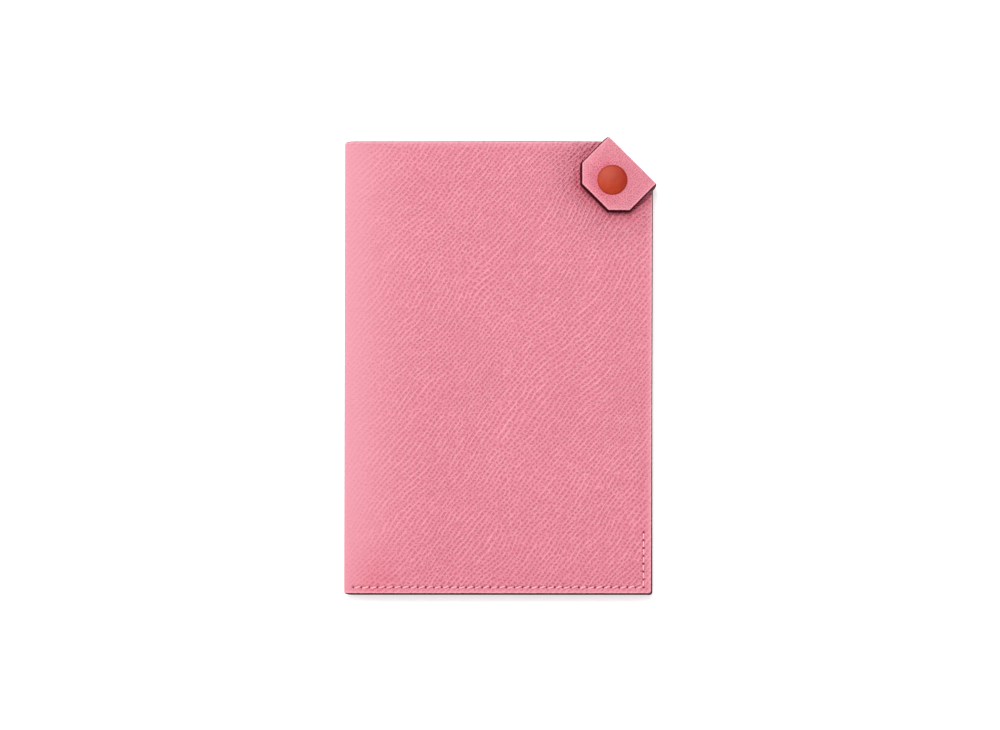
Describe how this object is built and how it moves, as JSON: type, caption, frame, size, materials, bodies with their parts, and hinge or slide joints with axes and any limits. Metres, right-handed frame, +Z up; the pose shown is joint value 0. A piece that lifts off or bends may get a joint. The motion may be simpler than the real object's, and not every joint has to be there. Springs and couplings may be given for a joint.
{
  "type": "passport holder",
  "caption": "Slim soft leather passport holder that opens like a book, with a patch pocket in each cover and a corner tab that snaps shut.",
  "frame": {"origin": "centre of the back cover's flat outer face, on which the closed holder lies", "axes": "+X to the fore edge (the spine is at -X), +Y to the top edge, +Z up through the front cover"},
  "size_m": [0.0962, 0.1412, 0.014],
  "materials": {
    "hide": "soft semi-matt pink leather with an embossed diagonal grain",
    "lining": "smooth matt rose lining leather",
    "thread": "light pink waxed thread",
    "lacquer": "satin rust red lacquer",
    "steel": "nickel-plated, satin",
    "board": "stiff non-woven reinforcing board"
  },
  "bodies": {
    "back_cover": {"back_cover_leather": "hide", "back_lining": "lining", "back_pocket": "hide", "back_seam_thread": "thread"},
    "spine": {"spine_leather": "hide", "spine_lining": "lining"},
    "front_cover": {"front_cover_leather": "hide", "front_lining": "lining", "front_pocket": "hide", "front_seam_thread": "thread", "snap_stud": "steel", "snap_post": "steel", "stud_reinforcement": "board"},
    "tab_wall": {"tab_wall_leather": "hide", "tab_wall_lining": "lining"},
    "tab_flap": {"tab_flap_leather": "hide", "tab_flap_lining": "lining", "snap_cap": "lacquer", "snap_socket": "steel", "snap_spring": "steel", "cap_reinforcement": "board"}
  },
  "joints": [
    {"name": "spine_fold", "type": "hinge", "parent": "back_cover", "child": "spine", "pos_m": [-0.0465, 0, 0.001], "axis": [0, -1, 0], "range_deg": [0, 89]},
    {"name": "cover_fold", "type": "hinge", "parent": "spine", "child": "front_cover", "pos_m": [-0.0465, 0, 0.0082], "axis": [0, -1, 0], "range_deg": [0, 89]},
    {"name": "tab_fold", "type": "hinge", "parent": "back_cover", "child": "tab_wall", "pos_m": [0.04057, 0.06307, 0.001], "axis": [-0.7071, 0.7071, 0], "range_deg": [0, 90]},
    {"name": "flap_fold", "type": "hinge", "parent": "tab_wall", "child": "tab_flap", "pos_m": [0.04057, 0.06307, 0.0121], "axis": [-0.7071, 0.7071, 0], "range_deg": [0, 75]}
  ],
  "couplings": [
    {"joint": "cover_fold", "follows": "spine_fold", "ratio": 1}
  ]
}
